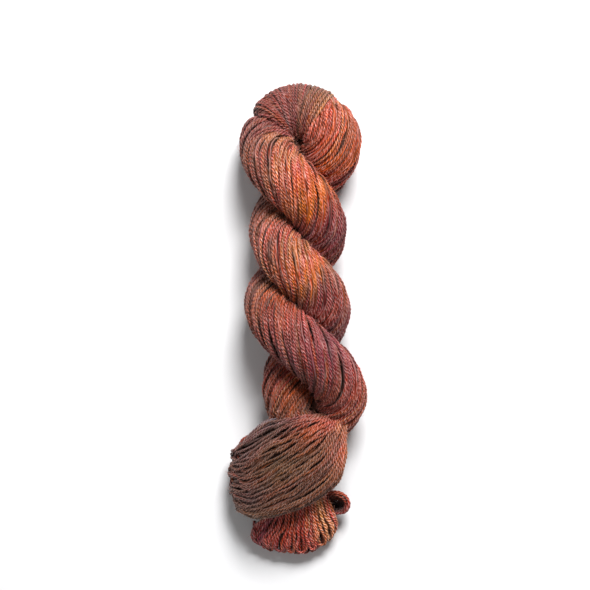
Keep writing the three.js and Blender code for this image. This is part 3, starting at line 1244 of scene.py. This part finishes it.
@dataclass(kw_only=True)
class EndBand(EndLoop):
    """The end loop that wraps the other one: its turns gather at the neck and spread to the left,
    where they turn sharply, lie looser and slip down. Lengths in mm, places as shares of the way round."""

    form: SolidForm
    name: str = "band"
    strands: int = 70
    inner: int = 56
    inner_depth: float = 0.85
    # painted shade: the under-turns are made darker than the outer ones
    inner_painted_light: float = 0.8
    seed: int = 23
    rough: Gauge = Gauge(groove=0.1, corners=6, pitch=40.0, step=2.4)
    steps: int = 420
    # The cut across it: its widest half width and half depth, and how square it is
    tangent_step: float = 0.01
    widest: tuple[float, float] = (29.0, 7.3)
    readings: int = 2001
    square: float = 2.6
    relief_share: float = 0.6
    # The sharp turn on the left, and what the strands do there
    left_turn: float = 0.55
    turn_reach: float = 0.075
    turn_looseness: float = 0.8
    turn_slip: tuple[float, float] = (0.5, 3.5)
    turn_shift: tuple[float, float] = (-0.8, 1.0)
    # How far the strands sweep across the band, and the room that each needs, in radii
    sweep: float = 0.34
    sweep_start: float = 0.02
    crowding: float = 1.7
    sink_share: float = 0.8
    drift: Wander = Wander(0.34, 24, 100)
    waver: Wander = Wander(0.10, 9, 26)
    lift: Wander = Wander(0.24, 14, 60)
    streak: float = 0.3
    uneven_tone: float = 0.14
    shade: Wander = Wander(0.14, 6, 60)
    dye_edge: float = 0.999
    read_every: int = 5

    @staticmethod
    def middle(share: Array) -> Array:
        """Middle of the band's cut at each share of the way round."""
        row = smooth_line(BAND, share % 1.0, True)
        return np.column_stack([(row[:, 0] + row[:, 2]) / 2, (row[:, 1] + row[:, 3]) / 2, row[:, 4]])

    def cut(self, share: Array) -> tuple[Array, Array, Array]:
        """The band's cut across at each share of the way round.

        Args:
            share: Shares from 0 to 1.

        Returns:
            Its half width towards the upper edge, the way out of its face, and its depth.
        """
        row = smooth_line(BAND, share % 1.0, True)
        wide = np.column_stack([row[:, 0] - row[:, 2], row[:, 1] - row[:, 3], 0 * share]) / 2
        ahead = self.middle(share + self.tangent_step) - self.middle(share - self.tangent_step)
        return wide, unit(np.cross(ahead, wide)), row[:, 5]

    def spaced(self, count: int) -> Array:
        """Angles round the band's widest cut that are an even distance apart.

        Args:
            count: Number of angles.

        Returns:
            The angles.
        """
        fine = np.linspace(0, 2 * math.pi, self.readings)
        wide, deep = self.widest
        steps = np.hypot(np.diff(wide * np.sin(fine)), np.diff(deep * np.cos(fine)))
        distance = np.concatenate([[0.0], np.cumsum(steps)])
        return np.interp(np.arange(count) / count * distance[-1], distance, fine)

    def dye(self, share: Array, lower: Array) -> Array:
        """Dye on the band.

        Args:
            share: Shares of the way round.
            lower: How far each point lies from the upper edge towards the lower, from 0 to 1.

        Returns:
            A colour for each point.
        """
        rows = np.array([dyed(share, list(zip(BAND_DYE_ROUND, row))) for row in BAND_DYE])
        place = np.clip(lower, 0, self.dye_edge) * (len(BAND_DYE) - 1)
        first = place.astype(int)
        part = (place - first)[:, None]
        step = np.arange(len(share))
        return rows[first, step] * (1 - part) + rows[first + 1, step] * part

    def strand(self, index: int, count: int, depth: float, rng: np.random.Generator) -> Strand:
        """Lays one strand.

        Args:
            index: Its place round the cut.
            count: Strands round the cut.
            depth: How far under the surface it lies.
            rng: Seeded source of its irregularity.

        Returns:
            The strand.
        """
        share = np.arange(self.steps) / self.steps
        middle = self.middle(share)
        wide, deep, thick = self.cut(share)
        loop = float(np.linalg.norm(np.roll(middle, -1, 0) - middle, axis=1).sum())
        distance = share * loop
        turning = np.exp(-(((share - self.left_turn) / self.turn_reach) ** 2))
        wander = self.drift.along(rng, distance, loop) + self.waver.along(rng, distance, loop)
        wander = (1 + self.turn_looseness * turning) * wander - rng.uniform(*self.turn_slip) * turning
        around = self.spaced(count)[index] + 2 * math.pi / count * wander
        swept = self.sweep * np.cos(2 * math.pi * (share - self.sweep_start))
        around = around + swept * np.cos(around)
        relief = 1 + LOOP_RELIEF * self.relief_share * np.cos(LOOP_LOCKS * around)
        half = np.linalg.norm(wide, axis=1)
        girdle = np.pi * np.sqrt(2 * (half**2 + thick**2))
        room = girdle / count / (self.crowding * self.gauge.radius)
        sink = depth + self.sink_share * layered(rank_of(index), room)
        out = unit(
            deep * (np.cos(around) / thick)[:, None] + unit(wide) * (np.sin(around) / half)[:, None]
        )
        full = 1 / (np.abs(np.cos(around)) ** self.square + np.abs(np.sin(around)) ** self.square)
        full = full ** (1 / self.square)
        points = (
            middle
            + deep * (thick * relief * full * np.cos(around))[:, None]
            + wide * (full * np.sin(around))[:, None]
        )
        lift = self.lift.along(rng, distance, loop) - self.gauge.radius - sink
        points = kept_above(points + out * lift[:, None], self.gauge.radius)
        points[:, 0] -= rng.uniform(*self.turn_shift) * turning
        dye = streaked(rng, self.dye(share, (1 - np.sin(around)) / 2), distance, self.streak)
        tone = 1 + rng.normal(0, self.uneven_tone) + self.shade.along(rng, distance, loop)
        # the under-turns are darker: painted shade
        tone = tone * np.interp(share, *BAND_TONE.T) * (self.inner_painted_light if depth else 1.0)
        hidden = self.form.hides(points, out, self.read_every)
        return Strand(points, out, dye, tone, closed=True, hidden=hidden)


@dataclass(kw_only=True)
class EndFan(EndLoop):
    """The end loop that comes out under the band: its turns run down to the rim and back below.
    Lengths in mm, places as shares of the way down or across."""

    name: str = "fan"
    strands: int = 21
    inner: int = 24
    inner_depth: float = 1.5
    seed: int = 31
    rough: Gauge = Gauge(corners=6, step=1.4)
    steps: int = 90
    # How a strand runs down the front, seen from above
    length: float = 70.0
    depth_shrink: float = 0.035
    uneven_reach: float = 0.03
    edge: float = 0.005
    rim_pull: float = 1.5
    rim_readings: int = 200
    drift: Wander = Wander(0.34, 16, 60)
    # How high it lies there: how square the fan's cut is, and the strand's lift
    side_limit: float = 0.98
    square: float = 2.2
    least_half: float = 0.4
    lift: Wander = Wander(0.34, 14, 50)
    own_lift: tuple[float, float] = (-0.4, 0.3)
    # How it runs back below: how far it steps aside, in which part of the fan it may step either way,
    # how far from the rim it starts, and how far under the front it lies, at the rim and further up
    step_aside: tuple[float, float] = (2.6, 6.5)
    free_part: tuple[float, float] = (0.2, 0.8)
    back_start: int = 6
    back_shift: float = 0.6
    back_levels: tuple[tuple[float, float], ...] = ((0.6, 9.0), (1.4, 12.0), (7.0, 2.0))
    # How the turn at the rim is rounded, and which way is out
    fine_step: float = 0.5
    softness: float = 3.6
    centre: tuple[float, float, float] = (0.0, -100.0, 12.0)
    bulge: tuple[float, float, float] = (0.3, 0.35, 2.0)
    # Its dye, and its brightness: the outer turns made brighter, painted light against the band's shadow
    # on the fan, and the under-turns brighter still, painted light against the shade in the gaps
    streak: float = 0.4
    brightness: float = 1.18
    inner_painted_light: float = 1.7
    uneven_tone: float = 0.16
    shade: Wander = Wander(0.10, 6, 40)

    @staticmethod
    def side(side: Side, height: Array) -> Array:
        """Where a side of the fan lies at each y."""
        column = side.value
        return np.interp(-height, -FAN[:, column + 1], FAN[:, column])

    def rim(self, part: Array) -> Array:
        """The fan's rim.

        Args:
            part: How far each point lies from its left corner towards its right one.

        Returns:
            The x and y of each point.
        """
        places = np.linspace(0, 1, self.rim_readings)
        line = smooth_line(FAN_RIM, places)
        return np.column_stack([np.interp(part, places, column) for column in line.T])

    def seen_from_above(self, across: Array, down: Array) -> Array:
        """Where a strand runs, as seen from above.

        Args:
            across: How far it lies from the left side towards the right at each point.
            down: How far each point lies towards the rim.

        Returns:
            Its x and y at each point.
        """
        left, right = smooth_line(FAN_LEFT, down), smooth_line(FAN_RIGHT, down)
        across = across[:, None]
        flat = left * (1 - across) + right * across
        corner = left[-1] * (1 - across) + right[-1] * across
        return flat + (down**self.rim_pull)[:, None] * (self.rim(across[:, 0]) - corner)

    def heights(self, flat: Array, depth: float) -> tuple[Array, Array]:
        """The fan's heights along a strand.

        Args:
            flat: The strand's x and y at each point.
            depth: How far under the surface it lies.

        Returns:
            The height of the fan's middle at each point, and how far from it the strand lies.
        """
        middle_y = (FAN[:, 1] + FAN[:, 3]) / 2
        z, thick = (np.interp(-flat[:, 1], -middle_y, FAN[:, column]) for column in (4, 5))
        low, high = self.side(Side.LEFT, flat[:, 1]), self.side(Side.RIGHT, flat[:, 1])
        aside = np.clip((2 * flat[:, 0] - low - high) / (high - low), -self.side_limit, self.side_limit)
        half = thick * (1 - np.abs(aside) ** self.square) ** (1 / self.square)
        return z, np.maximum(half - self.gauge.radius - depth, self.least_half)

    def strand(self, index: int, count: int, depth: float, rng: np.random.Generator) -> Strand:
        """Lays one strand, down the front to the rim and back underneath.

        Args:
            index: Its place from the left.
            count: Strands across the fan.
            depth: How far under the surface it lies.
            rng: Seeded source of its irregularity.

        Returns:
            The strand.
        """
        down = np.linspace(0, 1, self.steps)
        shrink = 1 - self.depth_shrink * depth
        reach = shrink - rng.uniform(0, self.uneven_reach)
        across = (index + 0.5) / count + self.drift.along(rng, down * self.length) * down / count
        across = np.clip(0.5 + (across - 0.5) * shrink, self.edge, 1 - self.edge)
        flat = self.seen_from_above(across, down * reach)
        z, half = self.heights(flat, depth)
        lift = self.lift.along(rng, down * self.length) + rng.uniform(*self.own_lift)
        top = np.column_stack([flat, z + half + lift])
        aside_by = rng.uniform(*self.step_aside)
        if self.free_part[0] < across.mean() < self.free_part[1]:
            aside_by *= rng.choice([-1, 1])
        elif index >= count / 2:
            aside_by *= -1
        level, sinking = self.back_levels[rng.integers(len(self.back_levels))]
        below = np.column_stack([
            flat[:, 0] + aside_by * down, flat[:, 1] + self.back_shift,
            z + half - level - sinking * (1 - down),
        ])
        back = kept_above(below, self.gauge.radius)[:-self.back_start]
        whole = np.vstack([top, back[::-1]])
        blank = np.ones_like(whole)
        even = Strand(whole, blank, blank, blank[:, 0]).even(self.fine_step)
        points = kept_above(softened(even.points, self.softness), self.gauge.radius)
        out = unit((points - self.centre) * self.bulge)
        share = np.linspace(0, 1, len(points))
        distance = share * 2 * self.length
        dye = streaked(rng, dyed(across.mean() + 0 * share, FAN_DYE), distance, self.streak)
        # painted light: the fan's turns are made brighter against the shade on them
        brightness = self.inner_painted_light if depth else self.brightness
        tone = brightness + rng.normal(0, self.uneven_tone) + self.shade.along(rng, distance)
        return Strand(points, out, dye, tone)


@dataclass
class TuckedTurns:
    """The stretch of the second bundle that runs through the band and opens into the fan. Lengths in
    mm, and the drift in gaps between strands."""

    form: SolidForm
    gauge: Gauge = Gauge(corners=6, step=1.6)
    strands: int = 36
    steps: int = 48
    seed: int = 71
    twist: float = 0.012
    drift: Wander = Wander(0.5, 15, 50)
    looseness: float = 4.0
    form_gap: float = 0.3
    softness: float = 2.0
    streak: float = 0.5
    brightness: float = 0.75
    uneven_tone: float = 0.09

    def reach(self, core: Array, way: Array, most: Array) -> Array:
        """How far a strand lies from the bundle's middle, just inside the solid.

        Args:
            core: The bundle's middle at each point.
            way: The way out at each point.
            most: The most that the bundle's own size allows.

        Returns:
            The distance at each point.
        """
        reach = []
        for place, heading, limit in zip(core, way, most):
            depth = self.form.depth(place, heading)
            far = limit if depth is None else depth - self.gauge.radius - self.form_gap
            reach.append(min(far, limit))
        return softened(np.array(reach), self.softness)

    def build(self) -> bpy.types.Object:
        """Makes the turns, laid against the solid from within.

        Returns:
            The piece.
        """
        rng = np.random.default_rng(self.seed)
        share = np.linspace(0, 1, self.steps)
        core = smooth_line(TUCKED[:, :3], share)
        wide, high = smooth_line(TUCKED[:, 3:], share).T
        distance = lengths_along(core)
        mesh = StrandMesh("tucked_turns", self.gauge, self.seed)
        for index in range(self.strands):
            angle = 2 * math.pi * index / self.strands + self.twist * distance
            angle = angle + self.drift.along(rng, distance) / self.strands * self.looseness
            way = np.column_stack([np.cos(angle), 0 * angle, np.sin(angle)])
            most = 1 / np.hypot(way[:, 0] / wide, way[:, 2] / high)
            points = kept_above(core + way * self.reach(core, way, most)[:, None], self.gauge.radius)
            dye = streaked(rng, dyed(share, TUCKED_DYE), distance, self.streak)
            tone = np.full(self.steps, rng.normal(self.brightness, self.uneven_tone))
            mesh.add(Strand(points, way, dye, tone))
        return mesh.build()


@dataclass
class Curl:
    """A few turns that stand out beside the fan in a small curl, with shorter ones inside it. Lengths
    in mm."""

    gauge: Gauge = Gauge()
    centre: tuple[float, float, float] = (22.8, -110.8, 0.0)
    root_share: float = 0.25
    root_shift: float = 1.5
    steps: int = 160
    seed: int = 41
    drift: Wander = Wander(0.32, 12, 40)
    middle_height: float = 10.0
    bulge: float = 1.5
    upward: float = 3.0
    # painted shade: the smaller, lower rounds inside the curl are made darker
    middle_tone_painted_shade: float = 0.1
    tone_per_size_painted_shade: float = 0.75
    brightness: float = 0.95
    uneven_tone: float = 0.08

    def build(self) -> bpy.types.Object:
        """Makes the curl: rounds of yarn, each smaller than the last and lower.

        Returns:
            The piece.
        """
        rng = np.random.default_rng(self.seed)
        share = np.linspace(0, 1, self.steps)
        middle = smooth_line(CURL[:, :3], share)
        distance = lengths_along(middle)
        centre = np.array(self.centre)
        mesh = StrandMesh("curl_turns", self.gauge, self.seed)
        for size, lift in CURL_ROUNDS:
            across = self.root_share + (1 - self.root_share) * size
            points = centre + (middle - centre) * [across, size, 1.0]
            points = points - [self.root_shift * (1 - size), 0.0, -lift]
            points = points + self.drift.sway(rng, distance)
            from_middle = points - centre - [0.0, 0.0, self.middle_height]
            way = unit(from_middle * [1.0, 1.0, self.bulge] + [0.0, 0.0, self.upward])
            # smaller rounds darker: painted shade in the curl's hollow
            tone = (self.middle_tone_painted_shade + self.tone_per_size_painted_shade * size) * rng.normal(self.brightness, self.uneven_tone)
            mesh.add(Strand(points, way, dyed(share, CURL_DYE), np.full(self.steps, tone)))
        return mesh.build()


@dataclass
class ShortLoops:
    """Turns that stray from the rest: they come up out of the wool, go round an edge and sink again.
    Lengths in mm."""

    gauge: Gauge = Gauge(radius=1.04)
    steps: int = 90
    softness: float = 2.0
    seed: int = 61
    drift: Wander = Wander(0.22, 10, 30)
    streak: float = 0.35
    band_brightness: float = 0.62
    rim_brightness: float = 1.0
    uneven_tone: float = 0.08

    def laid(self) -> list[tuple[Array, Dye, float]]:
        """The loops at the band's left end and along the fan's rim.

        Returns:
            The points that each passes, its dye and its brightness.
        """
        loops = [(np.array(corners), dye, self.band_brightness) for dye, corners in BAND_LOOPS]
        for middle, low, width, dye in RIM_LOOPS:
            corners = RIM_LOOP * [width / 2, 1, 1] + [middle, low, 0]
            loops.append((corners, dye, self.rim_brightness))
        return loops

    def build(self, shown: list[Strand]) -> bpy.types.Object:
        """Makes the loops.

        Args:
            shown: List that takes in the loops, for the loose fibres on them.

        Returns:
            The piece.
        """
        rng = np.random.default_rng(self.seed)
        mesh = StrandMesh("short_loops", self.gauge, self.seed)
        out = np.tile([0.0, 0.0, 1.0], (self.steps, 1))
        for corners, dye, brightness in self.laid():
            points = softened(smooth_line(corners, np.linspace(0, 1, self.steps)), self.softness)
            distance = lengths_along(points)
            points = kept_above(points + self.drift.sway(rng, distance), self.gauge.radius)
            colour = streaked(rng, np.tile(dye.linear(), (self.steps, 1)), distance, self.streak)
            tone = np.full(self.steps, brightness * rng.normal(1, self.uneven_tone))
            mesh.add(Strand(points, out, colour, tone))
        shown += mesh.strands
        return mesh.build()


@dataclass
class LooseFibres:
    """Fine fibres that have worked loose and stand out from the yarn as a haze, lighter and paler than
    their yarn in a painted sheen. Lengths in mm.
    """

    count: int = 9000
    rings: int = 3
    corners: int = 3
    seed: int = 51
    thick: float = 0.042
    taper: float = 0.6
    reach: tuple[float, float] = (0.7, 2.2)
    most_hidden: float = 0.2
    least_up: float = -0.3
    lean: float = 1.1
    rise: float = 0.55
    rooted: float = 0.8
    crook: float = 0.28
    droop: float = 0.10
    floor_gap: float = 0.4
    # brightness of the fibres over their yarn's dye, and their paleness: painted sheen
    brightness: tuple[float, float] = (0.8, 1.5)
    painted_sheen_paleness: float = 0.22
    # Where a fibre's corners lie within its cell of the bake map: the margin, and the spread along it
    # and round it
    cell_margin: float = 0.1
    cell_along: float = 0.8
    cell_around: float = 0.4

    def roots(self, strands: list[Strand], rng: np.random.Generator) -> list[Array]:
        """Picks the places that the fibres grow from.

        Args:
            strands: The strands that they stand on.
            rng: Seeded source of the choice.

        Returns:
            The place of each, the way out there, the way along the strand, and the strand's dye.
        """
        parts = []
        for strand in strands:
            ahead = unit(np.gradient(strand.points, axis=0))
            seen = (strand.hidden < self.most_hidden) & (strand.outward[:, 2] > self.least_up)
            parts.append(np.column_stack([strand.points, strand.outward, ahead, strand.dye])[seen])
        rows = np.concatenate(parts)
        return np.split(rows[rng.integers(len(rows), size=self.count)], 4, axis=1)

    def faces(self) -> tuple[Array, Array]:
        """The faces of all fibres: those round each, and the two at its ends.

        Returns:
            The corners of the faces, one face after another, and each face's number of corners.
        """
        sides, whole = self.corners, self.corners * self.rings
        ring, side = (grid.ravel() for grid in np.indices((self.rings - 1, sides)))
        here, beside = sides * ring + side, sides * ring + (side + 1) % sides
        quads = np.column_stack([here, beside, beside + sides, here + sides])
        ends = np.array([np.arange(sides)[::-1], np.arange(whole - sides, whole)])
        start = whole * np.arange(self.count)[:, None, None]
        loops = [(start + faces).ravel() for faces in (quads, ends)]
        sizes = [np.full(len(faces) * self.count, faces.shape[1]) for faces in (quads, ends)]
        return np.concatenate(loops), np.concatenate(sizes)

    def build(self, strands: list[Strand]) -> bpy.types.Object:
        """Makes the fibres.

        Args:
            strands: The strands that they stand on.

        Returns:
            The piece.
        """
        rng = np.random.default_rng(self.seed)
        points, outward, ahead, dye = self.roots(strands, rng)
        each = (self.count, 1)
        lean = rng.uniform(-self.lean, self.lean, each)
        way = unit(outward * np.cos(lean) + np.cross(ahead, outward) * np.sin(lean))
        reach = rng.uniform(*self.reach, each)
        heading = unit(way * rng.uniform(0.0, self.rise, each) + ahead * rng.uniform(-1, 1, each))
        place = points + way * Gauge().radius * self.rooted
        turn = 2 * math.pi * np.arange(self.corners) / self.corners
        across = unit(np.cross(heading, way))
        over = unit(np.cross(across, heading))
        section = (
            np.cos(turn)[None, :, None] * across[:, None] + np.sin(turn)[None, :, None] * over[:, None]
        )
        rings = []
        for ring in range(self.rings):
            size = self.thick * (1 - self.taper * ring / (self.rings - 1))
            rings.append(place[:, None] + size * section)
            place = kept_above(place + reach * heading, self.floor_gap)
            bend = rng.normal(0, self.crook, heading.shape)
            heading = unit(heading + bend - self.droop * way)
        surface = np.stack(rings, axis=1).reshape(-1, 3) - TABLES_MIDDLE
        loops, sizes = self.faces()
        whole = self.corners * self.rings
        grid = math.ceil(math.sqrt(self.count))
        fibre, corner = np.divmod(loops, whole)
        cell = np.column_stack([fibre % grid, fibre // grid])
        inside = np.column_stack([
            self.cell_along * (corner // self.corners) / self.rings,
            self.cell_around * (corner % self.corners),
        ])
        bake_map = (cell + self.cell_margin + inside) / grid
        # painted sheen: the fibres are lighter than their yarn and paler towards peach
        brightness = rng.uniform(*self.brightness, each)
        colours = np.repeat(dye * brightness + self.painted_sheen_paleness * Dye.PEACH.linear(), whole, axis=0)
        yarn_map = np.zeros((len(loops), 2))
        return mesh_piece("loose_fibres", surface, loops, sizes, colours, yarn_map, bake_map)


@dataclass
class InnerWool:
    """The hidden middle of the skein: the solid's own form, drawn in under the strands. Lengths in mm."""

    draw_in: float = 3.4
    room_share: float = 0.35
    skin: float = 0.01
    floor_gap: float = 0.6

    def build(self) -> bpy.types.Object:
        """Makes the inner wool from a merged copy of the solid.

        Returns:
            The piece.
        """
        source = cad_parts[NODE]
        mesh = source.data.copy()
        mesh.name = "inner_wool"
        mesh.materials.clear()
        work = bmesh.new()
        work.from_mesh(mesh)
        bmesh.ops.remove_doubles(work, verts=work.verts, dist=SAME_POINT)
        bmesh.ops.recalc_face_normals(work, faces=work.faces)
        work.normal_update()
        tree = BVHTree.FromBMesh(work)
        moves = []
        for vertex in work.verts:
            inward = -vertex.normal
            hit = tree.ray_cast(vertex.co + inward * self.skin * MM, inward)
            room = hit[3] if hit[0] is not None else 0.0
            moves.append(inward * min(self.draw_in * MM, self.room_share * room))
        for vertex, move in zip(work.verts, moves):
            vertex.co += move
            vertex.co.z = max(vertex.co.z, self.floor_gap * MM)
        for face in work.faces:
            face.smooth = True
        work.to_mesh(mesh)
        work.free()
        return placed("inner_wool", mesh)


@dataclass(frozen=True)
class Lamp:
    """A soft square lamp that points at the skein: where it hangs, its side in metres, its watts."""

    name: str
    place: tuple[float, float, float]
    size: float
    power: float

    def hang(self) -> None:
        """Hangs the lamp."""
        light = bpy.data.lights.new(self.name, "AREA")
        light.shape, light.size, light.energy = "SQUARE", self.size, self.power
        lamp = placed(self.name, light)
        lamp.location = self.place
        lamp.rotation_euler = Vector(self.place).to_track_quat("Z", "Y").to_euler()


@dataclass
class Studio:
    """The plain floor, the soft light and the camera over the skein. Lengths in metres."""

    frame_width: float = 0.354
    middle: tuple[float, float] = (-0.0015, 0.0141)
    camera_height: float = 2.2
    focus_height: float = 0.022
    sensor: float = 36.0
    nearest: float = 0.05
    farthest: float = 20.0
    floor_size: float = 3.0
    window: Lamp = Lamp("window_light", (0.3, 1.15, 1.25), 0.7, 54.0)
    fill: Lamp = Lamp("fill_light", (-0.6, -0.5, 1.4), 1.2, 3.0)
    air_colour: tuple[float, ...] = (1.0, 0.99, 0.98, 1.0)
    air_strength: float = 0.16

    def floor(self) -> None:
        """Lays the pale floor."""
        work = bmesh.new()
        bmesh.ops.create_grid(work, x_segments=2, y_segments=2, size=self.floor_size)
        mesh = bpy.data.meshes.new("floor")
        work.to_mesh(mesh)
        work.free()
        piece = placed("floor", mesh)
        mesh.materials.append(PaleFloor().material())
        piece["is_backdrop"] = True

    def camera(self) -> None:
        """Sets the camera straight above, with the frame's width at the skein's middle height."""
        lens = bpy.data.cameras.new("camera")
        lens.sensor_fit, lens.sensor_width = "HORIZONTAL", self.sensor
        lens.lens = self.sensor * (self.camera_height - self.focus_height) / self.frame_width
        lens.clip_start, lens.clip_end = self.nearest, self.farthest
        camera = placed("camera", lens)
        camera.location = (*self.middle, self.camera_height)
        bpy.context.scene.camera = camera

    def build(self) -> None:
        """Makes the camera, the floor and the lights."""
        self.camera()
        self.floor()
        self.window.hang()
        self.fill.hang()
        world = bpy.data.worlds.new("studio_air")
        world.use_nodes = True
        air = world.node_tree.nodes["Background"]
        air.inputs["Color"].default_value = self.air_colour
        air.inputs["Strength"].default_value = self.air_strength
        bpy.context.scene.world = world
        bpy.context.scene.view_settings.view_transform = "Standard"


def main() -> None:
    """Builds the studio and the skein, piece by piece."""
    logging.basicConfig(level=logging.INFO, format="%(name)s: %(message)s")
    Studio().build()
    wool = DyedWool().material()
    path = HankPath()
    form = SolidForm()
    shown: list[Strand] = []
    pieces = WoundHank(path, form).build(shown)
    pieces += UnderHank(path, form).build()
    pieces += EndBand(form=form).build(shown)
    pieces += EndFan().build(shown)
    pieces += [TuckedTurns(form).build(), Curl().build(), ShortLoops().build(shown)]
    pieces.append(LooseFibres().build(shown))
    for piece in pieces:
        joined_to_part(piece, wool)
    # the inner wool shows in the gaps in a dark brown of painted shade
    joined_to_part(InnerWool().build(), PaintedShadeWool().material())
    sizes = [[list(corner) for corner in box] for box in (CAD_BOX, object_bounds())]


if __name__ == "__main__":
    main()
